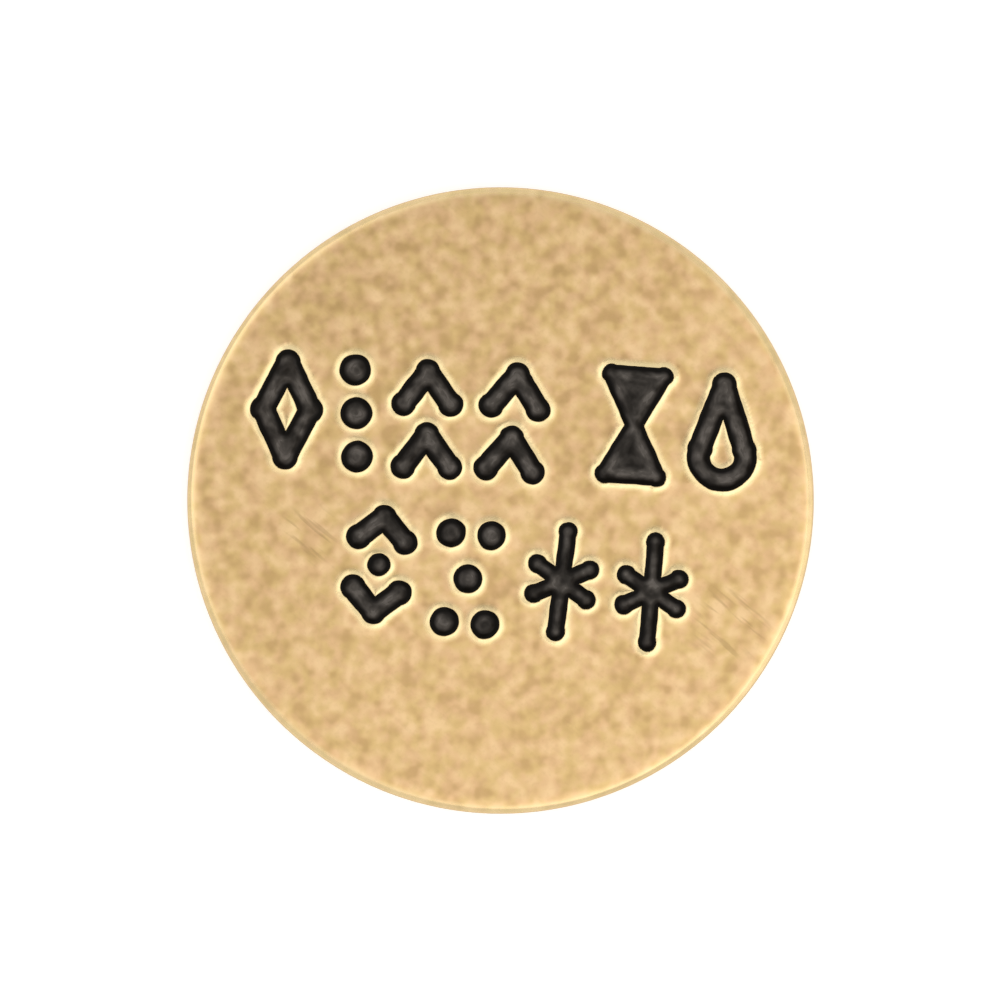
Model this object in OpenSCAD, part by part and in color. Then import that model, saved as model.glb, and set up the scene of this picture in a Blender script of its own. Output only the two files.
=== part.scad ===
// Ball marker: a solid brass disc, hand-struck with two rows of ornament punches.
// Each impression holds its own fill of black enamel, set just below the face.
// Millimetres. The origin is the centre of the back, +Z out of the struck face,
// and +Y points from the lower row of marks to the upper one.

/* [Disc] */
// Diameter of the disc
disc_d = 25.4; // [23:0.1:32]
// Thickness of the sheet that the disc was blanked from
disc_t = 1.6; // [1.2:0.1:3]
// Radius that tumbling leaves on both rims
edge_r = 0.25; // [0.1:0.05:0.5]

/* [Impressions] */
// Depth of an impression below the face
stamp_depth = 0.4; // [0.2:0.05:0.5]
// Slope of an impression's walls, from upright, in degrees
wall_slope = 25; // [10:1:30]
// Width of a stroke at the face
stroke_w = 0.95; // [0.8:0.05:1.2]
// Width of a fine stroke at the face
fine_w = 0.72; // [0.65:0.01:0.9]
// Swell of a stroke's ends and corners past its sides
end_swell = 0.045; // [0.03:0.005:0.06]
// Enamel surface below the face
fill_drop = 0.06; // [0.02:0.01:0.15]

/* [Marks] */
// Height of a mark, to the sides of its strokes
mark_h = 4.8; // [4:0.1:6]
// Diameter of a bead in the bead column, which is as wide as one bead
bead_d = 1.3; // [1:0.05:1.5]
// Diameter of a dot in the five dots
dot_d = 1.2; // [0.8:0.05:1.4]
// Rise of a chevron from its feet to its point
chevron_rise = 1.3; // [0.8:0.1:1.6]
// Rise of each half of the split lozenge
cap_rise = 0.9; // [0.6:0.1:1.2]
// Angle of the star's side arms, from level
star_angle = 30; // [15:1:40]

/* [Layout] */
// Clear metal between the rim and the corners of the upper row
edge_margin = 1; // [0.6:0.1:2]
// Gap between neighbours in the upper row
mark_gap = 0.75; // [0.5:0.05:1]
// Gap between the two groups of the upper row
word_gap = 2; // [1:0.1:2.5]
// Gap between neighbours in the lower row
low_gap = 0.85; // [0.5:0.05:1.2]
// Gap between the two rows
row_gap = 1.65; // [1:0.05:2]
// Slope of the upper row, down to the right, in degrees
up_slope = 3; // [0:0.5:8]
// Slope of the lower row, down to the right, in degrees
low_slope = 5.7; // [0:0.1:8]
// Distance of the lower row's middle from the disc's, along the row
low_shift = 0.9; // [0:0.1:1.5]

/* [Hidden] */
$fn = 64;
// how the hand set each punch: moved right, moved up, and turned anticlockwise in degrees
UP_HAND = [[0, 0, 1], [0, 0, 4], [0.05, -0.1, 2], [-0.05, -0.05, -2], [0, 0.1, -1], [0, 0, 1]];
LOW_HAND = [[0, 0.15, -1], [-0.05, -0.05, 1.5], [0.05, 0.2, -1.5], [0, 0.15, 1]];

over = 0.05; // a cut runs past the face by this much
bead_swell = 0.02; // a side corner's bead reaches past the inside corner by this much
row_y = (mark_h + row_gap) / 2;
field_r = disc_d / 2 - edge_margin;
up_len = 2 * sqrt(pow(field_r, 2) - pow(row_y + mark_h / 2, 2));
mark_w = (up_len - bead_d - 4 * mark_gap - word_gap) / 5;
up_w = [mark_w, bead_d, mark_w, mark_w, mark_w, mark_w];
up_gap = [mark_gap, mark_gap, mark_gap, word_gap, mark_gap];
low_pitch = mark_w + low_gap;

// sum of a list's first n values
function sum(list, n) = n == 0 ? 0 : list[n - 1] + sum(list, n - 1);
// middle of the upper row's mark i, along the row
function up_x(i) = -up_len / 2 + sum(up_w, i) + sum(up_gap, i) + up_w[i] / 2;
// half the width of a stroke w wide, at height z from the face
function half_w(w, z) = w / 2 + z * tan(wall_slope);
// half the reach of a stroke's middle line inside a size
function reach(size, w) = (size - w) / 2;

// ---- what one punch stroke leaves: sloping walls, a flat floor, round ends ----

// section across a stroke, from its floor up to height top, standing at x = middle
module section(w, top, middle = 0) {
    low = half_w(w, -stamp_depth);
    high = half_w(w, top);
    polygon([[middle - low, -stamp_depth], [middle + low, -stamp_depth],
             [middle + high, top], [middle - high, top]]);
}

module dot(at, w, top)
    translate([at[0], at[1], -stamp_depth])
        cylinder(h = stamp_depth + top, r1 = half_w(w, -stamp_depth), r2 = half_w(w, top));

module stroke(a, b, w, top) {
    translate([a[0], a[1], 0])
        rotate([0, 0, atan2(b[1] - a[1], b[0] - a[0])])
            rotate([90, 0, 90])
                linear_extrude(norm(b - a)) section(w, top);
    dot(a, w + 2 * end_swell, top);
    dot(b, w + 2 * end_swell, top);
}

module arc(centre, r, from, turn, w, top)
    translate([centre[0], centre[1], 0])
        rotate([0, 0, from])
            rotate_extrude(angle = turn) section(w, top, r);

// strokes through a list of points
module path(points, w, top)
    for (i = [1:len(points) - 1]) stroke(points[i - 1], points[i], w, top);

// a triangle punched solid: its outline, and the floor between
module solid_triangle(points, w, top) {
    path([points[0], points[1], points[2], points[0]], w, top);
    translate([0, 0, -stamp_depth])
        linear_extrude(stamp_depth + top) polygon(points);
}

// ---- the punches, each w wide and mark_h high about its middle ----

module lozenge(w, top) {
    x = reach(w, stroke_w);
    y = reach(mark_h, stroke_w);
    path([[0, y], [x, 0], [0, -y], [-x, 0], [0, y]], stroke_w, top);
    // a bead at each side corner, wide enough to round the corner's inside as well
    inside = half_w(stroke_w, over) * (1 / sin(atan2(y, x)) - 1);
    for (s = [-1, 1]) dot([s * x, 0], stroke_w + 2 * (inside + bead_swell), top);
}

module beads(w, top) {
    y = reach(mark_h, w);
    for (k = [-1:1]) dot([0, k * y], w, top);
}

module chevrons(w, top) {
    x = reach(w, stroke_w);
    y = reach(mark_h, stroke_w);
    for (tip = [y, chevron_rise - y])
        path([[-x, tip - chevron_rise], [0, tip], [x, tip - chevron_rise]], stroke_w, top);
}

module hourglass(w, top) {
    x = reach(w, fine_w);
    y = reach(mark_h, fine_w);
    for (s = [-1, 1]) solid_triangle([[0, 0], [-x, s * y], [x, s * y]], fine_w, top);
}

module drop(w, top) {
    r = reach(w, stroke_w);
    y = reach(mark_h, stroke_w);
    middle = r - y;
    // where a line from the tip touches the bowl, as an angle from the tip's side
    touch = acos(r / (y - middle));
    for (s = [-1, 1])
        stroke([0, y], [s * r * sin(touch), middle + r * cos(touch)], stroke_w, top);
    arc([0, middle], r, 90 + touch, 360 - 2 * touch, stroke_w, top);
}

module split_lozenge(w, top) {
    x = reach(w, stroke_w);
    y = reach(mark_h, stroke_w);
    for (s = [-1, 1])
        path([[-x, s * (y - cap_rise)], [0, s * y], [x, s * (y - cap_rise)]], stroke_w, top);
    dot([0, 0], stroke_w, top);
}

module five_dots(w, top) {
    x = reach(w, dot_d);
    y = reach(mark_h, dot_d);
    for (sx = [-1, 1]) for (sy = [-1, 1]) dot([sx * x, sy * y], dot_d, top);
    dot([0, 0], dot_d, top);
}

module star(w, top) {
    y = reach(mark_h, fine_w);
    x = reach(w, fine_w);
    arm = x * tan(star_angle);
    stroke([0, -y], [0, y], fine_w, top);
    for (s = [-1, 1]) stroke([-x, -s * arm], [x, s * arm], fine_w, top);
}

// ---- where each punch was struck ----

module up_place(i)
    rotate([0, 0, -up_slope])
        translate([up_x(i) + UP_HAND[i][0], row_y + UP_HAND[i][1], disc_t])
            rotate([0, 0, UP_HAND[i][2]]) children();

module low_place(i)
    rotate([0, 0, -low_slope])
        translate([low_shift + (i - 1.5) * low_pitch + LOW_HAND[i][0],
                   LOW_HAND[i][1] - row_y, disc_t])
            rotate([0, 0, LOW_HAND[i][2]]) children();

module lozenge_at(top) up_place(0) lozenge(mark_w, top);
module beads_at(top) up_place(1) beads(bead_d, top);
module chevrons_left_at(top) up_place(2) chevrons(mark_w, top);
module chevrons_right_at(top) up_place(3) chevrons(mark_w, top);
module hourglass_at(top) up_place(4) hourglass(mark_w, top);
module drop_at(top) up_place(5) drop(mark_w, top);
module split_lozenge_at(top) low_place(0) split_lozenge(mark_w, top);
module five_dots_at(top) low_place(1) five_dots(mark_w, top);
module star_left_at(top) low_place(2) star(mark_w, top);
module star_right_at(top) low_place(3) star(mark_w, top);

// ---- the pieces ----

// half section of the plain disc before striking, rounded at both rims
module blank_section() {
    square([disc_d / 2 - edge_r, disc_t]);
    translate([0, edge_r]) square([disc_d / 2, disc_t - 2 * edge_r]);
    for (z = [edge_r, disc_t - edge_r]) translate([disc_d / 2 - edge_r, z]) circle(r = edge_r);
}

module disc()
    color([0.88, 0.74, 0.52]) difference() {
        rotate_extrude() blank_section();
        lozenge_at(over);
        beads_at(over);
        chevrons_left_at(over);
        chevrons_right_at(over);
        hourglass_at(over);
        drop_at(over);
        split_lozenge_at(over);
        five_dots_at(over);
        star_left_at(over);
        star_right_at(over);
    }

module enamel() color([0.12, 0.11, 0.1]) children();

module enamel_lozenge() enamel() lozenge_at(-fill_drop);
module enamel_beads() enamel() beads_at(-fill_drop);
module enamel_chevrons_left() enamel() chevrons_left_at(-fill_drop);
module enamel_chevrons_right() enamel() chevrons_right_at(-fill_drop);
module enamel_hourglass() enamel() hourglass_at(-fill_drop);
module enamel_drop() enamel() drop_at(-fill_drop);
module enamel_split_lozenge() enamel() split_lozenge_at(-fill_drop);
module enamel_five_dots() enamel() five_dots_at(-fill_drop);
module enamel_star_left() enamel() star_left_at(-fill_drop);
module enamel_star_right() enamel() star_right_at(-fill_drop);

disc();
enamel_lozenge();
enamel_beads();
enamel_chevrons_left();
enamel_chevrons_right();
enamel_hourglass();
enamel_drop();
enamel_split_lozenge();
enamel_five_dots();
enamel_star_left();
enamel_star_right();
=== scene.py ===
# %% [markdown]
# # A hand-struck brass ball marker
# The real thing is a coin of solid brass, blanked from sheet and tumbled until its rims are
# round and its faces are satin. Its owner's marks are struck into it one at a time with steel
# punches and a hammer, and each impression is filled with black enamel that is wiped back and
# left to dry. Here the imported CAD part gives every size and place. The looks are then built
# in the order of the real work: turn the blank, strike the punches, pour the enamel.

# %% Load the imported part
import math

import bmesh
import bpy
import numpy as np
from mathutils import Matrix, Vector, geometry


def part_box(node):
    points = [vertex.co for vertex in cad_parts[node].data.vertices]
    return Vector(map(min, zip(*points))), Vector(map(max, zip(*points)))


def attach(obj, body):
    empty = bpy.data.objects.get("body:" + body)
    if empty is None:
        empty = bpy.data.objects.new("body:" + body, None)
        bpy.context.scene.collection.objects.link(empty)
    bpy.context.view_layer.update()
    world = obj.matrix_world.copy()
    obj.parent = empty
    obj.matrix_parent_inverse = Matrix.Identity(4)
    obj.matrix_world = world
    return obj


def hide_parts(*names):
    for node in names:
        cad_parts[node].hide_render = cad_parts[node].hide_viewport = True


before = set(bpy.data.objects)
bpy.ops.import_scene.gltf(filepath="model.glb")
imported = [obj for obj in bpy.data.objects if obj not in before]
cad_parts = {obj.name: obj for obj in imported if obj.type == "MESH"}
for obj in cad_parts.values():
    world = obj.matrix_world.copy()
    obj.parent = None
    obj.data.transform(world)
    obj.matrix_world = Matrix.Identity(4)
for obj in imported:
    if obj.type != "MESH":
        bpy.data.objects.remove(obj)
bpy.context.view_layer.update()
FILLS = sorted(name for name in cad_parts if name.startswith("enamel"))
print("enamel fills:", FILLS)

# %% [markdown]
# ## Node helpers
# Light, shapes and finishes are all trees of nodes. One helper adds a node, sets its choices
# and wires it up. Two short ones cover what is asked for again and again: a sum, and a soft
# step from one value to another.

# %% Helpers for nodes


def put(tree, kind, wires=None, **choices):
    """Adds a node. A wire is a socket to link or a plain value, under the input's name or place."""
    node = tree.nodes.new(kind)
    for name, value in choices.items():
        setattr(node, name, value)
    for key, wire in (wires or {}).items():
        if isinstance(wire, bpy.types.NodeSocket):
            tree.links.new(wire, node.inputs[key])
        else:
            node.inputs[key].default_value = wire
    return node


def reckon(tree, operation, *terms):
    """One sum of numbers."""
    return put(tree, "ShaderNodeMath", dict(enumerate(terms)), operation=operation).outputs[0]


def step_up(tree, value, low, high, first=0.0, last=1.0, kind="SMOOTHSTEP"):
    """A soft step: first below low, last above high."""
    wires = {"Value": value, "From Min": low, "From Max": high, "To Min": first, "To Max": last}
    return put(tree, "ShaderNodeMapRange", wires, interpolation_type=kind).outputs[0]


print("helpers:", put.__name__, reckon.__name__, step_up.__name__)

# %% [markdown]
# ## Camera and studio
# The camera looks straight down on the struck face, from far enough away that the disc's side
# stays hidden. A long lens does that without any distortion. The studio is a light tent: a
# pale floor and white walls all round, dimmer overhead where the camera looks in. The flat
# face mirrors the dim top, while the rounded lips and the rim catch the bright walls, and
# that alone makes them shine. Three soft boxes do the rest: the one at the lower right warms
# that side of the face, the one at the upper left brightens the lips that lean its way, and
# the one at the right edges the rim. Each is set by its brightness and not its wattage, so
# its size can change on its own.

# %% Camera straight above
MM = 0.001
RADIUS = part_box("disc")[1].x / MM
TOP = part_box("disc")[1].z / MM
LENS, SENSOR = 150.0, 36.0
SHARE = 0.627  # the disc's diameter as a share of the picture's width

lens = bpy.data.cameras.new("camera")
lens.lens, lens.sensor_width = LENS, SENSOR
lens.clip_start = 0.01
camera = bpy.data.objects.new("camera", lens)
bpy.context.scene.collection.objects.link(camera)
seen_width = 2 * RADIUS / SHARE
camera.location = (0, 0, (TOP + seen_width * LENS / SENSOR) * MM)
bpy.context.scene.camera = camera
print("camera height", round(camera.location.z, 4), "m")

# %% Soft boxes and tent
TENT_WALL, TENT_TOP = 0.86, 0.21  # brightness of the tent's walls and of its top
WALL_TO, TOP_FROM = 0.92, 0.99  # where they end and begin, as the upward part of a direction
CLOTH_WHITE = (0.98, 0.99, 1.0, 1)


def soft_box(name, place, side, brightness):
    """A square light at a place in metres, turned to the disc; brightness 1 shows as white."""
    lamp = bpy.data.lights.new(name, "AREA")
    lamp.size = side
    lamp.energy = brightness * math.pi * side**2
    box = bpy.data.objects.new(name, lamp)
    box.location = place
    box.rotation_euler = (-Vector(place)).to_track_quat("-Z", "Y").to_euler()
    bpy.context.scene.collection.objects.link(box)


soft_box("lower_right_box", (0.12, -0.12, 0.55), 0.46, 0.76)
soft_box("upper_left_box", (-0.30, 0.12, 0.57), 0.44, 0.56)
soft_box("right_box", (0.60, -0.20, 0.34), 0.60, 0.35)

tent = bpy.data.worlds.new("light_tent")
tent.use_nodes = True
cloth = tent.node_tree
direction = put(cloth, "ShaderNodeTexCoord").outputs["Generated"]
upward = put(cloth, "ShaderNodeSeparateXYZ", {0: direction}).outputs["Z"]
glow = step_up(cloth, upward, WALL_TO, TOP_FROM, TENT_WALL, TENT_TOP)
cloth.links.new(glow, cloth.nodes["Background"].inputs["Strength"])
cloth.nodes["Background"].inputs["Color"].default_value = CLOTH_WHITE
bpy.context.scene.world = tent
bpy.context.scene.view_settings.view_transform = "Standard"
print(tent.name, "with walls at", TENT_WALL, "and top at", TENT_TOP)

# %% [markdown]
# ## Outlines of the impressions
# A punched mark is a shape on the flat face, so everything about it follows from its outline:
# how far the wall has dropped, where the pushed-up lip stands, how deep the enamel lies. The
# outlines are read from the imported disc: they are the open edges of its flat top. Walking the
# edges in the faces' own direction keeps the metal always on the left, round a mark and round
# an island inside one alike, which later tells inside from outside.

# %% Read outlines from a flat face
SAME_SPOT = 1e-7  # CAD corners this near to each other are one, in m
LEVEL_TO = 1e-3  # a face is at a height when all its corners are this near to it, in mm


def outlines_at(node, height):
    """The edges of a CAD node's flat face at a height, as closed lists of points in mm."""
    mesh = bmesh.new()
    mesh.from_mesh(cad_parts[node].data)
    bmesh.ops.remove_doubles(mesh, verts=mesh.verts, dist=SAME_SPOT)
    flat = [f for f in mesh.faces if all(abs(v.co.z / MM - height) < LEVEL_TO for v in f.verts)]
    on_level = set(flat)  # to look faces up only: the list above keeps them in order for the walk
    ahead = {}
    for face in flat:
        for corner in face.loops:
            if not any(f in on_level for f in corner.edge.link_faces if f is not face):
                ahead[corner.vert] = corner.link_loop_next.vert
    outlines = []
    while ahead:
        start, spot = ahead.popitem()
        walk = [start]
        while spot is not start:
            walk.append(spot)
            spot = ahead.pop(spot)
        outlines.append(np.array([v.co.xy for v in walk]) / MM)
    mesh.free()
    return outlines


def widest(outline):
    """How far an outline reaches from the disc's middle, along x or y."""
    return np.abs(outline).max()


*MARKS, FLAT_EDGE = sorted(outlines_at("disc", TOP), key=widest)
FILL_EDGES = [o for name in FILLS for o in outlines_at(name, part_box(name)[1].z / MM)]
FLAT_RADIUS = float(np.linalg.norm(FLAT_EDGE, axis=1).mean())
ROUNDING = RADIUS - FLAT_RADIUS
print(len(MARKS), "outlines on the face; rim rounding", round(ROUNDING, 3), "mm")

# %% [markdown]
# ## Distance from the nearest outline
# Every later step asks one question of a point: how far is it from the edge of a mark, and on
# which side? The answer is a single signed number, here called its gap: above zero on the bare
# metal, below zero inside a mark. The distance is that to the nearest straight piece of any
# outline, and the side comes from counting how many pieces a level line from the point crosses.

# %% Signed distance, and the sizes that follow from it
FAR = 0.9  # nothing depends on a gap wider than this, in mm


def gap_of(spots, outlines):
    """Signed distance in mm from each spot to the nearest outline, above 0 on the metal."""
    gaps = np.full(len(spots), FAR)
    inside = np.zeros(len(spots), bool)
    for outline in outlines:
        near = ((spots > outline.min(axis=0) - FAR) & (spots < outline.max(axis=0) + FAR)).all(axis=1)
        some = spots[near]
        run = np.roll(outline, -1, axis=0) - outline
        away = some[:, None, :] - outline
        along = np.clip((away * run).sum(axis=2) / (run**2).sum(axis=1), 0, 1)
        distance = np.linalg.norm(away - along[..., None] * run, axis=2).min(axis=1)
        gaps[near] = np.minimum(gaps[near], distance)
        # a spot is inside when a level line from it crosses the outline an odd number of times
        spans = (away[..., 1] < 0) != (away[..., 1] - run[:, 1] < 0)
        slant = run[:, 0] / np.where(run[:, 1] == 0, 1, run[:, 1])
        crossed = spans & (away[..., 0] < away[..., 1] * slant)
        inside[near] ^= crossed.sum(axis=1) % 2 == 1
    return np.where(inside, -gaps, gaps)


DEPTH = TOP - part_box(FILLS[0])[0].z / MM
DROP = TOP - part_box(FILLS[0])[1].z / MM
LEAN = float(np.median(-gap_of(np.vstack(FILL_EDGES), MARKS))) / DROP
WALL_RUN = DEPTH * LEAN
print(f"impressions {DEPTH:.2f} mm deep, walls lean {math.degrees(math.atan(LEAN)):.1f} degrees")

# %% [markdown]
# ## A net of points that follows the outlines
# A lip less than half a millimetre wide would look like a staircase on a plain square grid. So
# the net is laid the way contour lines are: rings of points beside every outline, close
# together where the metal bends sharply and wider apart further off, and an open honeycomb
# over the rest. A ring is the outline moved sideways, with a small fan of points round each
# outer corner. Points that land too near another stretch of outline are dropped.

# %% Rings, honeycomb and triangles
STEP = 0.05  # spacing along an outline, in mm
PITCH = 0.15  # spacing of the honeycomb
TRUE_TO = 0.004  # a ring's spots lie this near to their level
CROWDED = 0.7 * STEP  # spots nearer than this are thinned out


def thin(spots, apart):
    """Drops spots that are much closer together than they should be."""
    for shift in (0, 0.5):
        cells = np.floor(spots / apart + shift)
        spots = spots[np.sort(np.unique(cells, axis=0, return_index=True)[1])]
    return spots


def beside(outline, level):
    """Spots at a level beside one outline: on the metal above 0, in the mark below 0."""
    run = np.roll(outline, -1, axis=0) - outline
    length = np.linalg.norm(run, axis=1)
    heading = np.arctan2(run[:, 1], run[:, 0]) + math.pi / 2
    spots = []
    for k, corner in enumerate(outline):
        turn = (heading[k] - heading[k - 1] + math.pi) % (2 * math.pi) - math.pi
        fans = int(abs(turn * level) / STEP) + 1
        for angle in heading[k - 1] + turn * np.arange(1, fans) / fans:
            spots.append(corner + level * np.array([math.cos(angle), math.sin(angle)]))
        count = math.ceil(length[k] / STEP)
        side = level * np.array([math.cos(heading[k]), math.sin(heading[k])])
        spots += [corner + run[k] * j / count + side for j in range(count)]
    return np.array(spots)


def rings(outlines, levels):
    """Rings of spots beside all the outlines, clear of every other stretch of them."""
    kept = []
    for level in levels:
        spots = np.vstack([beside(o, level) for o in outlines])
        gaps = gap_of(spots, outlines)
        spots = spots[np.abs(gaps - level) < TRUE_TO]
        kept.append(thin(spots, CROWDED))
    return np.vstack(kept)


def honeycomb(pitch, reach):
    """A honeycomb of spots over a disc of some radius."""
    across = np.arange(-reach, reach, pitch)
    up = np.arange(-reach, reach, pitch * math.sqrt(0.75))
    x, y = np.meshgrid(across, up)
    x[1::2] += pitch / 2
    spots = np.column_stack((x.ravel(), y.ravel()))
    return spots[np.linalg.norm(spots, axis=1) < reach]


def circle(radius, count):
    """Spots evenly round a circle."""
    angle = 2 * math.pi * np.arange(count) / count
    return radius * np.column_stack((np.cos(angle), np.sin(angle)))


def net(spots, outlines=()):
    """Triangles over the spots, with each outline kept as a line of edges."""
    edges, points = [], [spots]
    total = len(spots)
    for outline in outlines:
        crease = beside(outline, 0)
        points.append(crease)
        edges += [(total + k, total + (k + 1) % len(crease)) for k in range(len(crease))]
        total += len(crease)
    corners = [Vector(p) for p in np.vstack(points)]
    made = geometry.delaunay_2d_cdt(corners, edges, [], 0, 1e-6)
    return np.array([v[:] for v in made[0]]), np.array(made[2])


print("honeycomb spots over the face:", len(honeycomb(PITCH, FLAT_RADIUS)))

# %% [markdown]
# ## The blank
# The blank is a coin: a flat face, a rounded rim, a straight side and a flat back. The side is
# turned like work on a lathe, each ring of corners joined to the next. The face is the net of
# points, and the back a wide honeycomb, because nothing happens there. Doubled corners where
# the three meet are then merged, which closes the solid. Tumbling has worn the upper and
# lower edges down a little, so the face and the back roll off before the rim's rounding.

# %% Turn the blank
TURNS = 512  # corners round the rim
ROUNDING_ROWS, SIDE_ROWS = 9, 7  # rings of corners over a rim's rounding and up the side
BACK_PITCH = 1.0  # spacing of the back's honeycomb
LIP_RINGS = (0.018, 0.04, 0.07, 0.1, 0.14, 0.185, 0.24, 0.31, 0.39)
WALL_RINGS = (-0.014, -0.04, -0.09, -WALL_RUN)

open_face = honeycomb(PITCH, FLAT_RADIUS - PITCH / 2)
open_gap = gap_of(open_face, MARKS)
clear = (open_gap > max(LIP_RINGS) + PITCH / 3) | (open_gap < -WALL_RUN - PITCH / 3)
face_spots = np.vstack((rings(MARKS, WALL_RINGS + LIP_RINGS), open_face[clear],
                        circle(FLAT_RADIUS, TURNS)))
face_flat, face_triangles = net(face_spots, MARKS)

ROLL, ROLL_FROM = 0.08, FLAT_RADIUS - 0.45  # how far tumbling wears the rim down, and from where


def worn_down(radius, z):
    """The height of a corner of the upper half after tumbling."""
    share = np.clip((radius - ROLL_FROM) / (RADIUS - ROLL_FROM), 0, 1) ** 2
    return z - ROLL * share * np.clip((z - TOP + ROUNDING) / ROUNDING, 0, 1)


arc = np.linspace(0, math.pi / 2, ROUNDING_ROWS)
upper = [(FLAT_RADIUS + ROUNDING * math.sin(a), TOP - ROUNDING + ROUNDING * math.cos(a)) for a in arc]
upper = [(radius, worn_down(radius, z)) for radius, z in upper]
straight = [(RADIUS, z) for z in np.linspace(TOP - ROUNDING, ROUNDING, SIDE_ROWS)[1:-1]]
side = upper + straight + [(r, TOP - z) for r, z in reversed(upper)]
back_flat, back_triangles = net(np.vstack((honeycomb(BACK_PITCH, FLAT_RADIUS - BACK_PITCH / 2),
                                           circle(FLAT_RADIUS, TURNS))))


def raised(flat, z):
    """Flat spots at a height, or each at its own."""
    return np.column_stack((flat, np.broadcast_to(z, len(flat))))


corners = [raised(face_flat, worn_down(np.linalg.norm(face_flat, axis=1), TOP))]
faces = [tuple(int(i) for i in t) for t in face_triangles]
base = len(face_flat)
for radius, z in side:
    corners.append(raised(circle(radius, TURNS), z))
for row in range(len(side) - 1):
    for k in range(TURNS):
        a, b = base + row * TURNS + k, base + row * TURNS + (k + 1) % TURNS
        faces.append((a, a + TURNS, b + TURNS, b))
base += len(side) * TURNS
corners.append(raised(back_flat, TOP - worn_down(np.linalg.norm(back_flat, axis=1), TOP)))
faces += [tuple(int(i) + base for i in t[::-1]) for t in back_triangles]
print(len(faces), "faces before merging")

# %% Make an object of it, with each corner's gap
TOUCHING = 2e-7  # corners this near to each other are merged, in m


def make_object(name, corners, faces):
    """An object at the origin from corners in mm, with doubled corners merged."""
    mesh = bpy.data.meshes.new(name)
    mesh.from_pydata([tuple(c) for c in np.vstack(corners) * MM], [], faces)
    body = bmesh.new()
    body.from_mesh(mesh)
    bmesh.ops.remove_doubles(body, verts=body.verts, dist=TOUCHING)
    body.to_mesh(mesh)
    body.free()
    made = bpy.data.objects.new(name, mesh)
    bpy.context.scene.collection.objects.link(made)
    return made


def corners_of(mesh):
    """The places of a mesh's corners, in mm."""
    places = np.zeros(3 * len(mesh.vertices), np.float32)
    mesh.vertices.foreach_get("co", places)
    return places.reshape(-1, 3) / MM


def store(mesh, name, values):
    """Keeps one number for each corner, for Geometry Nodes and the finish to read."""
    mesh.attributes.new(name, "FLOAT", "POINT").data.foreach_set("value", values.astype(np.float32))


marker = make_object("struck_disc", corners, faces)
places = corners_of(marker.data)
on_face = (np.linalg.norm(places[:, :2], axis=1) < FLAT_RADIUS + 1e-4) & (places[:, 2] > TOP / 2)
gaps = np.full(len(places), RADIUS)
gaps[on_face] = gap_of(places[on_face, :2].astype(float), MARKS)
store(marker.data, "gap", gaps * MM)
print(marker.name, len(marker.data.vertices), "corners,", len(marker.data.polygons), "faces")

# %% [markdown]
# ## Run a tree
# A shape tree gets a named input for each of its sizes. To run one, the sizes are set by their
# sockets' identifiers, the result is taken as a plain mesh and the modifier is removed,
# because the rest of the work wants finished meshes.

# %% Helpers for shape trees


def shape_tree(name, sizes):
    """An empty Geometry Nodes tree with a named input for each size."""
    tree = bpy.data.node_groups.new(name, "GeometryNodeTree")
    for way in ("INPUT", "OUTPUT"):
        tree.interface.new_socket("Geometry", in_out=way, socket_type="NodeSocketGeometry")
    for label, value in sizes.items():
        kind = {int: "Int", float: "Float"}.get(type(value), "Material")
        tree.interface.new_socket(label, in_out="INPUT", socket_type="NodeSocket" + kind)
    return tree, tree.nodes.new("NodeGroupInput").outputs


def run_tree(piece, tree, sizes):
    """Runs a tree on a piece and keeps the result as its plain mesh."""
    modifier = piece.modifiers.new(tree.name, "NODES")
    modifier.node_group = tree
    for item in tree.interface.items_tree:
        if item.in_out == "INPUT" and item.name in sizes:
            modifier[item.identifier] = sizes[item.name]
    graph = bpy.context.evaluated_depsgraph_get()
    shown = piece.evaluated_get(graph)
    mesh = bpy.data.meshes.new_from_object(shown, preserve_all_data_layers=True, depsgraph=graph)
    piece.modifiers.clear()
    piece.data = mesh
    print(tree.name, "->", piece.name, len(mesh.polygons), "faces")


print("helpers:", shape_tree.__name__, run_tree.__name__)

# %% [markdown]
# ## How the hand shows
# No struck line is dead straight: the punch rocks, and the metal gives more on one side. Both
# the metal and the enamel in it are therefore pushed about a little in the plane, by one slow
# noise that the two share, so the enamel still meets its wall. The push dies out away from the
# marks and leaves the rim round.

# %% The hand's wobble, shared by metal and enamel
HAND = {"Wobble": 0.028 * MM, "Wobble size": 0.75 * MM, "Hand seed": 4}
STEADY_FROM, STEADY_AT = 0.3 * MM, 0.8 * MM  # the gaps between which the push dies out
FULL = 4.0  # noise strays about a quarter from its middle, and this brings that to 1


def gap_and_wobble(tree, sizes):
    """The stored gap, and a slow push in the plane that dies out away from the marks."""
    gap = put(tree, "GeometryNodeInputNamedAttribute", {"Name": "gap"}, data_type="FLOAT").outputs[0]
    scale = reckon(tree, "DIVIDE", 1.0, sizes["Wobble size"])
    noise = put(tree, "ShaderNodeTexNoise", {"Scale": scale, "Detail": 2.0, "W": sizes["Hand seed"]},
                noise_dimensions="4D")
    centred = put(tree, "ShaderNodeVectorMath", {0: noise.outputs["Color"], 1: (0.5, 0.5, 0.5)},
                  operation="SUBTRACT").outputs[0]
    level = put(tree, "ShaderNodeVectorMath", {0: centred, 1: (FULL, FULL, 0)},
                operation="MULTIPLY").outputs[0]
    near = step_up(tree, gap, STEADY_FROM, STEADY_AT, 1.0, 0.0)
    amount = reckon(tree, "MULTIPLY", near, sizes["Wobble"])
    push = put(tree, "ShaderNodeVectorMath", {0: level, "Scale": amount}, operation="SCALE")
    return gap, push.outputs[0]


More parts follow.
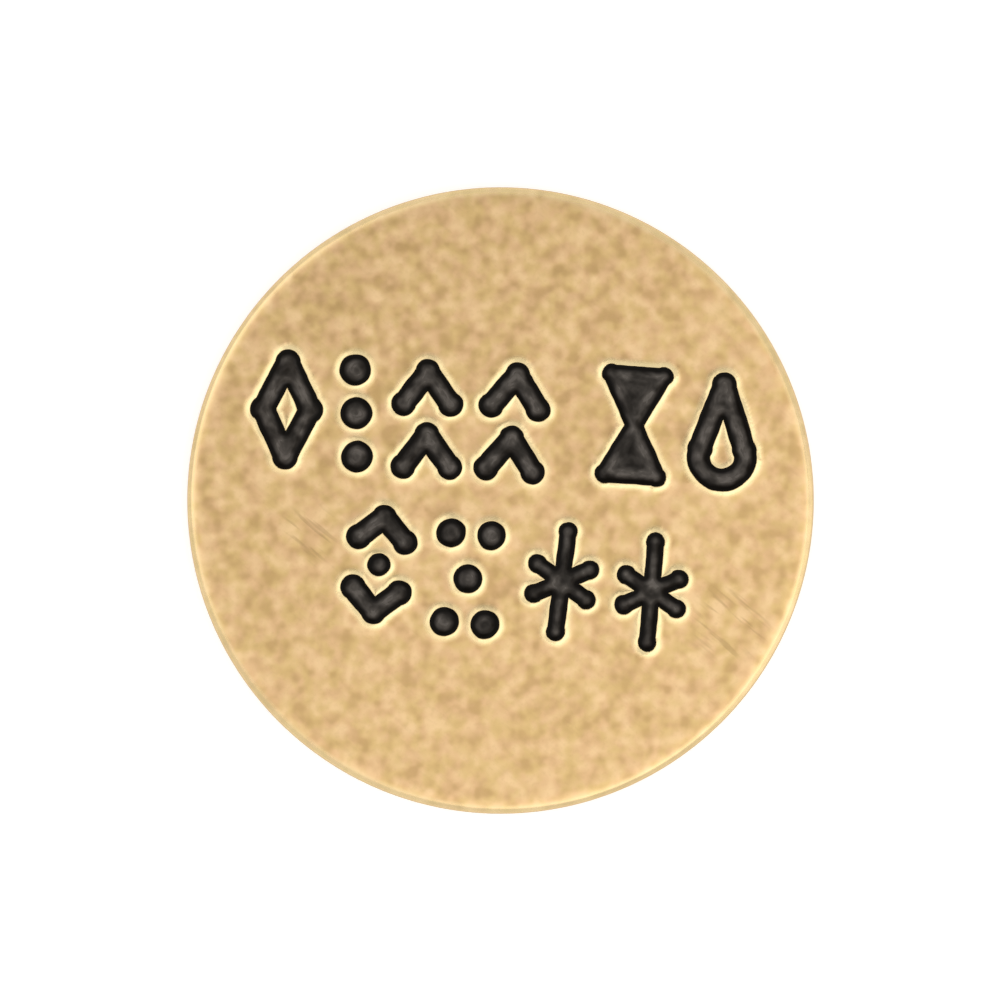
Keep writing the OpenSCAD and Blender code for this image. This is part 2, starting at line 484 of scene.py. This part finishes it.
def lifted(tree, shape, height):
    """Moves a shape's corners up by a height, in metres."""
    offset = put(tree, "ShaderNodeCombineXYZ", {"Z": height}).outputs[0]
    return put(tree, "GeometryNodeSetPosition", {"Geometry": shape, "Offset": offset}).outputs[0]


def finish_tree(tree, shape, material):
    """Smooth faces, a material and no instances left."""
    smooth = put(tree, "GeometryNodeSetShadeSmooth", {0: shape}).outputs[0]
    real = put(tree, "GeometryNodeRealizeInstances", {0: smooth}).outputs[0]
    dressed = put(tree, "GeometryNodeSetMaterial", {"Geometry": real, "Material": material})
    tree.links.new(dressed.outputs[0], tree.nodes.new("NodeGroupOutput").inputs[0])


print("the hand moves an edge by up to", HAND["Wobble"] / MM, "mm")

# %% [markdown]
# ## Brass finish
# Tumbled brass is satin and never one colour: it holds slow clouds of warmer and greener
# tone, a fine mottle where the tumbling media struck, and hair-thin scratches that slant one
# way, most of them in two rubbed places. The crests that rub, which are the lips round the
# marks and the rounded rim, are paler and smoother. On the rim the paler colour is polish;
# on the lips it is partly polish and partly a painted highlight. The pattern sits in the
# metal's own coordinates, so it stays put from any side. The blanked side has fine upright
# lines from the shearing.

# %% Helpers for finishes


def noise_at(tree, place, size, detail, seed):
    """Noise with features of a size in mm, from 0 to 1."""
    wires = {"Vector": place, "Scale": 1 / (size * MM), "Detail": detail, "W": seed}
    return put(tree, "ShaderNodeTexNoise", wires, noise_dimensions="4D").outputs[0]


def blend_colour(tree, share, first, second):
    """A share of the second colour over the first, each a colour or a socket."""
    wires = {0: share, 6: first if not isinstance(first, tuple) else (*first, 1),
             7: second if not isinstance(second, tuple) else (*second, 1)}
    return put(tree, "ShaderNodeMix", wires, data_type="RGBA").outputs[2]


def stretched(tree, place, turn, stretch):
    """The same place with its pattern drawn out along some axes and turned, for streaks."""
    wires = {"Vector": place, "Rotation": (0, 0, math.radians(turn)), "Scale": stretch}
    return put(tree, "ShaderNodeMapping", wires, vector_type="TEXTURE").outputs[0]


def new_finish(name):
    """A material, its shader and the place on the piece in metres."""
    material = bpy.data.materials.new(name)
    material.use_nodes = True
    tree = material.node_tree
    place = put(tree, "ShaderNodeTexCoord").outputs["Object"]
    return material, tree, tree.nodes["Principled BSDF"], place


def wire_up(tree, shader, wires):
    """Links sockets to a shader's inputs by name."""
    for name, socket in wires.items():
        tree.links.new(socket, shader.inputs[name])


print("helpers:", noise_at.__name__, blend_colour.__name__, stretched.__name__, new_finish.__name__)

# %% Brass: where it is worn, and where the lips get a painted highlight
POLISH_FROM, POLISH_TO = FLAT_RADIUS - 0.2, FLAT_RADIUS + 0.08  # the rim's polish sets in between

brass, tree, metal, place = new_finish("satin_brass")
x_y_z = put(tree, "ShaderNodeSeparateXYZ", {0: place}).outputs
radius = reckon(tree, "SQRT", reckon(tree, "ADD", reckon(tree, "POWER", x_y_z[0], 2.0),
                                     reckon(tree, "POWER", x_y_z[1], 2.0)))
rim = step_up(tree, radius, POLISH_FROM * MM, POLISH_TO * MM)
# the lip mask paints the lips paler: partly polish, partly a painted highlight
lip = put(tree, "ShaderNodeAttribute", attribute_name="lip").outputs["Fac"]
wear_and_lip_highlight = reckon(tree, "MAXIMUM", reckon(tree, "MULTIPLY", rim, 0.55), lip)
print("worn on the lips, and from", round(POLISH_FROM, 2), "mm out on the rim")

# %% Brass: clouds, mottle and grain
WARM, YELLOW = (0.80, 0.515, 0.262), (0.765, 0.525, 0.225)
PALE, DARK = (0.94, 0.655, 0.350), (0.545, 0.340, 0.138)
CLOUD, MOTTLE, GRAIN = 0.8, 0.59, 0.15  # sizes of the patterns' features, in mm

hue = noise_at(tree, place, CLOUD, 2.0, 1.0)
mottle = noise_at(tree, place, MOTTLE, 1.0, 2.0)
grain = noise_at(tree, place, GRAIN, 1.0, 3.0)
tone = blend_colour(tree, step_up(tree, hue, 0.36, 0.64), YELLOW, WARM)
tone = blend_colour(tree, step_up(tree, mottle, 0.45, 0.76, 0.0, 0.80), tone, PALE)
tone = blend_colour(tree, step_up(tree, mottle, 0.26, 0.52, 0.62, 0.0), tone, DARK)
tone = blend_colour(tree, step_up(tree, grain, 0.30, 0.50, 0.10, 0.0), tone, DARK)
print("patterns of", CLOUD, MOTTLE, "and", GRAIN, "mm")

# %% Brass: scratches, polish and painted lip highlight
SCRATCHED, POLISH_AND_LIP_HIGHLIGHT = (0.42, 0.27, 0.12), (0.95, 0.77, 0.42)
RUBBED = (((9.3, -5.0), 2.0), ((-7.8, -1.4), 1.6))  # rubbed places and their radii, in mm
SLANT = -40  # of the scratches, in degrees

streak = noise_at(tree, stretched(tree, place, SLANT, (9, 1, 1)), 0.19, 1.0, 4.0)
rubbed = 0.12  # the share of scratches that the rest of the metal has
for (x, y), reach in RUBBED:
    away = put(tree, "ShaderNodeVectorMath", {0: place, 1: (x * MM, y * MM, TOP * MM)},
               operation="DISTANCE").outputs["Value"]
    rubbed = reckon(tree, "MAXIMUM", rubbed, step_up(tree, away, 0.4 * reach * MM, reach * MM, 1.0, 0.0))
scratch = reckon(tree, "MULTIPLY", step_up(tree, streak, 0.56, 0.70), rubbed)
tone = blend_colour(tree, reckon(tree, "MULTIPLY", scratch, 0.45), tone, SCRATCHED)
# the pale colour: polish on the rim, polish and a painted highlight on the lips
colour = blend_colour(tree, reckon(tree, "MULTIPLY", wear_and_lip_highlight, 0.85), tone, POLISH_AND_LIP_HIGHLIGHT)
print(len(RUBBED), "rubbed places")

# %% Brass: sheared side, gloss and relief
SHEARED = (0.46, 0.31, 0.15)

shear = noise_at(tree, stretched(tree, place, 0, (1, 1, 25)), 0.12, 2.0, 6.0)
sheared = step_up(tree, radius, (RADIUS - 0.09) * MM, (RADIUS - 0.015) * MM)
colour = blend_colour(tree, reckon(tree, "MULTIPLY", sheared, 0.8), colour, SHEARED)
rough = reckon(tree, "MULTIPLY_ADD", mottle, 0.10, 0.26)
rough = reckon(tree, "SUBTRACT", rough, reckon(tree, "MULTIPLY", wear_and_lip_highlight, 0.10))

relief = reckon(tree, "MULTIPLY", grain, 0.0012 * MM)
relief = reckon(tree, "MULTIPLY_ADD", mottle, 0.004 * MM, relief)
relief = reckon(tree, "SUBTRACT", relief, reckon(tree, "MULTIPLY", scratch, 0.0012 * MM))
relief = reckon(tree, "ADD", relief, reckon(tree, "MULTIPLY", sheared,
                                            reckon(tree, "MULTIPLY", shear, 0.006 * MM)))
bump = put(tree, "ShaderNodeBump", {"Height": relief, "Strength": 1.0, "Distance": 1.0})
wire_up(tree, metal, {"Base Color": colour, "Roughness": rough, "Normal": bump.outputs[0]})
metal.inputs["Metallic"].default_value = 1.0
print(brass.name, len(tree.nodes), "nodes")

# %% [markdown]
# ## Strike the punches
# This is where the blank becomes the marker, and the whole shape follows one rule of the gap.
# Inside a mark the wall drops evenly to a flat floor. Outside it the metal that the punch
# pushed aside stands highest at the very edge and sinks back into the face. That lip's height
# is uneven, as a hammer leaves it, and it is smoothed where two lips meet. The open face gets
# a slow ripple and hundreds of shallow dents from tumbling, scattered by a fixed seed.
# Changing the named sizes strikes the same disc harder, softer or cleaner.

# %% The tree's sizes, and the pushed outline
STRIKE = {
    "Stamp depth": DEPTH * MM, "Wall run": WALL_RUN * MM,
    "Lip height": 0.048 * MM, "Lip reach": 0.42 * MM, "Lip smoothing": 5,
    "Shine reach": 0.32 * MM, "Unevenness": 0.45, "Ripple": 0.0035 * MM, "Ripple size": 0.55 * MM,
    "Dent depth": 0.004 * MM, "Dent radius": 0.32 * MM, "Dents per m2": 1.6e6,
    "Dent seed": 7, "Flat radius": FLAT_RADIUS * MM, **HAND, "Brass": brass,
}
tree, sizes = shape_tree("strike_the_punches", STRIKE)
gap, push = gap_and_wobble(tree, sizes)
pushed = put(tree, "GeometryNodeSetPosition", {"Geometry": sizes["Geometry"], "Offset": push}).outputs[0]
print(tree.name, "takes", len(STRIKE), "sizes")

# %% Wall, floor and lip
UNEVEN_OVER = 1.4  # how far along an edge the lip's height keeps to one luck, in mm

sunk = step_up(tree, gap, reckon(tree, "MULTIPLY", sizes["Wall run"], -1.0), 0.0,
               reckon(tree, "MULTIPLY", sizes["Stamp depth"], -1.0), 0.0, "LINEAR")
outer = step_up(tree, gap, 0.0, sizes["Lip reach"], 1.0, 0.0, "LINEAR")
inner = step_up(tree, gap, reckon(tree, "MULTIPLY", sizes["Wall run"], -1.0), 0.0, kind="LINEAR")
crest = reckon(tree, "MULTIPLY", reckon(tree, "POWER", outer, 2.0), inner)
luck = put(tree, "ShaderNodeTexNoise", {"Scale": 1 / (UNEVEN_OVER * MM), "Detail": 1.0}).outputs[0]
luck = reckon(tree, "MULTIPLY", reckon(tree, "SUBTRACT", luck, 0.5), FULL)
luck = reckon(tree, "MULTIPLY_ADD", luck, sizes["Unevenness"], 1.0)
lip_here = reckon(tree, "MULTIPLY", crest, luck)
lip_here = put(tree, "GeometryNodeBlurAttribute",
               {0: lip_here, "Iterations": sizes["Lip smoothing"],
                "Weight": step_up(tree, gap, 0.06 * MM, 0.18 * MM)}, data_type="FLOAT").outputs[0]
# where the lips are painted paler: partly polish, partly a painted highlight
shine = reckon(tree, "MULTIPLY", step_up(tree, gap, 0.05 * MM, sizes["Shine reach"], 1.0, 0.0),
               step_up(tree, luck, 0.2, 1.2, 0.55, 1.0))
print("lips stand", STRIKE["Lip height"] / MM, "mm high on average")

# %% Open metal: ripple and dents
RIM_CLEAR = 0.5  # the open metal's relief dies out over this width along the rim, in mm

position = put(tree, "GeometryNodeInputPosition").outputs[0]
flat_place = put(tree, "ShaderNodeVectorMath", {0: position, 1: (1, 1, 0)},
                 operation="MULTIPLY").outputs[0]
from_middle = put(tree, "ShaderNodeVectorMath", {0: flat_place}, operation="LENGTH").outputs["Value"]
fades = reckon(tree, "SUBTRACT", sizes["Flat radius"], RIM_CLEAR * MM)
open_metal = reckon(tree, "MULTIPLY", step_up(tree, from_middle, fades, sizes["Flat radius"], 1.0, 0.0),
                    step_up(tree, gap, -0.05 * MM, 0.25 * MM))
on_top = reckon(tree, "LESS_THAN", gap, RADIUS * MM * 0.9)
open_metal = reckon(tree, "MULTIPLY", open_metal, on_top)
ripple_scale = reckon(tree, "DIVIDE", 1.0, sizes["Ripple size"])
ripple = put(tree, "ShaderNodeTexNoise", {"Scale": ripple_scale, "Detail": 1.5}).outputs[0]
ripple = reckon(tree, "MULTIPLY", reckon(tree, "SUBTRACT", ripple, 0.5),
                reckon(tree, "MULTIPLY", sizes["Ripple"], FULL))
strikes = put(tree, "GeometryNodeDistributePointsOnFaces",
              {"Mesh": sizes["Geometry"], "Selection": on_top, "Density": sizes["Dents per m2"],
               "Seed": sizes["Dent seed"]}, distribute_method="RANDOM").outputs["Points"]
nearest = put(tree, "GeometryNodeProximity", {0: strikes}, target_element="POINTS")
dent = step_up(tree, nearest.outputs["Distance"], 0.0, sizes["Dent radius"],
               reckon(tree, "MULTIPLY", sizes["Dent depth"], -1.0), 0.0)
loose = reckon(tree, "MULTIPLY", reckon(tree, "ADD", ripple, dent), open_metal)
print("dents", STRIKE["Dent depth"] / MM, "mm deep")

# %% Strike
height = reckon(tree, "MULTIPLY_ADD", lip_here, sizes["Lip height"], sunk)
height = reckon(tree, "MULTIPLY", reckon(tree, "ADD", height, loose), on_top)
struck = lifted(tree, pushed, height)
# the stored lip mask drives the paler lip colour, partly a painted highlight
marked = put(tree, "GeometryNodeStoreNamedAttribute",
             {"Geometry": struck, "Name": "lip", "Value": reckon(tree, "MULTIPLY", shine, on_top)},
             data_type="FLOAT", domain="POINT").outputs[0]
finish_tree(tree, marked, sizes["Brass"])
run_tree(marker, tree, STRIKE)

# %% [markdown]
# ## Black enamel finish
# Stamping enamel dries to a hard gloss that is deepest where it is thickest along the walls,
# and slightly dusty and greyer along the middle, where the wiping cloth drags over it. That
# grey middle is partly dust and partly a painted sheen, the soft highlight of a dished skin.
# So the colour and the gloss both follow the stored gap. The drag lines run along the strokes:
# they are noise in which the gap counts in full and the place only a little.

# %% Enamel
# the second grey is the dusty middle: partly dust, partly a painted sheen
WET, DUSTY_SHEEN_GREY = (0.0030, 0.0020, 0.0010), (0.100, 0.082, 0.066)
DRAG, DUST = 0.16, 0.80  # sizes of the drag lines and of the dusty clouds, in mm

enamel, tree, paint, place = new_finish("gloss_black_enamel")
depth_in = put(tree, "ShaderNodeAttribute", attribute_name="gap").outputs["Fac"]
middle = step_up(tree, depth_in, -0.42 * MM, -0.14 * MM, 1.0, 0.0)
along = put(tree, "ShaderNodeVectorMath", {0: place, "Scale": 0.5}, operation="SCALE").outputs[0]
across = put(tree, "ShaderNodeCombineXYZ", {"Z": depth_in}).outputs[0]
drag_place = put(tree, "ShaderNodeVectorMath", {0: along, 1: across}, operation="ADD").outputs[0]
drag = noise_at(tree, drag_place, DRAG, 1.0, 9.0)
dust = noise_at(tree, place, DUST, 1.5, 8.0)
middle = reckon(tree, "MULTIPLY", middle, step_up(tree, depth_in, -0.75 * MM, -0.45 * MM, 0.4, 1.0))
# the grey film in the middle: partly dust, partly a painted sheen
dust_and_painted_sheen = reckon(tree, "MULTIPLY", middle, step_up(tree, drag, 0.25, 0.75, 0.55, 1.0))
dust_and_painted_sheen = reckon(tree, "MULTIPLY", dust_and_painted_sheen, step_up(tree, dust, 0.36, 0.62, 0.28, 1.0))
shade = blend_colour(tree, dust_and_painted_sheen, WET, DUSTY_SHEEN_GREY)
gloss = reckon(tree, "MULTIPLY_ADD", dust_and_painted_sheen, 0.22, 0.12)
shine = reckon(tree, "MULTIPLY_ADD", dust_and_painted_sheen, 0.45, 0.05)
skin = reckon(tree, "MULTIPLY", dust, 0.004 * MM)
bump = put(tree, "ShaderNodeBump", {"Height": skin, "Strength": 1.0, "Distance": 1.0})
wire_up(tree, paint, {"Base Color": shade, "Roughness": gloss, "Specular IOR Level": shine,
                      "Normal": bump.outputs[0]})
print(enamel.name, len(tree.nodes), "nodes")

# %% [markdown]
# ## Pour the enamel
# Wet enamel clings to the walls and shrinks as it dries, so its skin is dished: highest along
# the outline and lower in the middle. Each pool starts as a flat net inside its own outline.
# The tree makes two of it: one is dished for the skin, the other is turned over and pressed
# down against wall and floor. Both start a hair below the edge of the metal, so no gap can
# show, and they meet along the outline, where merging closes them.

# %% The tree for a pool
POUR = {
    "Stamp depth": DEPTH * MM, "Wall slope": 1 / LEAN, "Edge drop": 0.008 * MM,
    "Dish depth": 0.06 * MM, "Dish reach": 0.45 * MM,
    "Skin ripple": 0.010 * MM, "Skin size": 0.6 * MM, **HAND, "Enamel": enamel,
}
tree, sizes = shape_tree("pour_the_enamel", POUR)
gap, push = gap_and_wobble(tree, sizes)
pushed = put(tree, "GeometryNodeSetPosition", {"Geometry": sizes["Geometry"], "Offset": push}).outputs[0]
inward = reckon(tree, "MULTIPLY", gap, -1.0)
dished = step_up(tree, inward, 0.0, sizes["Dish reach"], 0.0, 1.0, "LINEAR")
dished = reckon(tree, "SUBTRACT", 1.0, reckon(tree, "POWER", reckon(tree, "SUBTRACT", 1.0, dished), 2.0))
skin_scale = reckon(tree, "DIVIDE", 1.0, sizes["Skin size"])
skin = put(tree, "ShaderNodeTexNoise", {"Scale": skin_scale, "Detail": 1.0}).outputs[0]
skin = reckon(tree, "MULTIPLY", reckon(tree, "SUBTRACT", skin, 0.5), sizes["Skin ripple"])
lower = reckon(tree, "SUBTRACT", skin, sizes["Dish depth"])
upper_skin = reckon(tree, "SUBTRACT", reckon(tree, "MULTIPLY", dished, lower), sizes["Edge drop"])
wall = reckon(tree, "MULTIPLY", gap, sizes["Wall slope"])
deepest = reckon(tree, "MULTIPLY", sizes["Stamp depth"], -1.0)
under = reckon(tree, "MINIMUM", reckon(tree, "MAXIMUM", wall, deepest),
               reckon(tree, "MULTIPLY", sizes["Edge drop"], -1.0))
turned = put(tree, "GeometryNodeFlipFaces", {"Mesh": pushed}).outputs[0]
both = put(tree, "GeometryNodeJoinGeometry")
tree.links.new(lifted(tree, pushed, upper_skin), both.inputs[0])
tree.links.new(lifted(tree, turned, under), both.inputs[0])
closed = put(tree, "GeometryNodeMergeByDistance", {"Geometry": both.outputs[0], "Distance": TOUCHING})
finish_tree(tree, closed.outputs[0], sizes["Enamel"])
print(tree.name, "takes", len(POUR), "sizes")

# %% The pools, one for each fill
POOL_RINGS = (-0.02, -WALL_RUN / 3, -0.1, -0.14, -WALL_RUN, -0.25, -0.32)
POOL_PITCH, RING_CLEAR = 0.08, 0.03  # spacing of a pool's honeycomb, and how far off the rings it is
PLENTY = 0.3  # a mark's outline lies inside its fill's box, grown by this


def marks_of(name):
    """The outlines on the disc's face that belong to one fill."""
    low, high = (np.array(corner[:2]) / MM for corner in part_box(name))
    return [o for o in MARKS if (o > low - PLENTY).all() and (o < high + PLENTY).all()]


pools = []
for name in FILLS:
    outlines = marks_of(name)
    inside = honeycomb(POOL_PITCH, RADIUS)
    inside = inside[gap_of(inside, outlines) < min(POOL_RINGS) - RING_CLEAR]
    flat, triangles = net(np.vstack((rings(outlines, POOL_RINGS), inside)), outlines)
    middles = flat[triangles].mean(axis=1)
    triangles = triangles[gap_of(middles, outlines) < 0]
    pool = make_object(name.replace("enamel", "pool"), [raised(flat, TOP)],
                       [tuple(int(i) for i in t) for t in triangles])
    spots = corners_of(pool.data)[:, :2].astype(float)
    store(pool.data, "gap", np.minimum(gap_of(spots, outlines), 0.0) * MM)
    run_tree(pool, tree, POUR)
    pools.append((pool, name))

# %% [markdown]
# ## Floor, and hand over
# The floor is a white acrylic sheet, lit a little from below as a light table is, which
# keeps the shadow faint. The struck disc and the pools stand for the CAD solids of the same
# pieces, and all of them ride on the one body that the part has.

# %% Floor
FLOOR_RADIUS, FLOOR_CORNERS = 1500, 64

floor_finish, _, sheet, _ = new_finish("lit_sheet")
for socket, value in (("Base Color", (0.94, 0.94, 0.94, 1)), ("Roughness", 0.9),
                      ("Emission Color", (1.0, 1.0, 1.0, 1)), ("Emission Strength", 0.35)):
    sheet.inputs[socket].default_value = value
floor = make_object("floor", [raised(circle(FLOOR_RADIUS, FLOOR_CORNERS), 0.0)],
                    [tuple(range(FLOOR_CORNERS))])
floor.data.materials.append(floor_finish)
print(floor.name, FLOOR_RADIUS / 1000, "m in radius")

# %% Ride on the part, stand for its solids
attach(marker, "root")
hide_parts("disc")
for pool, name in pools:
    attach(pool, "root")
    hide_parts(name)
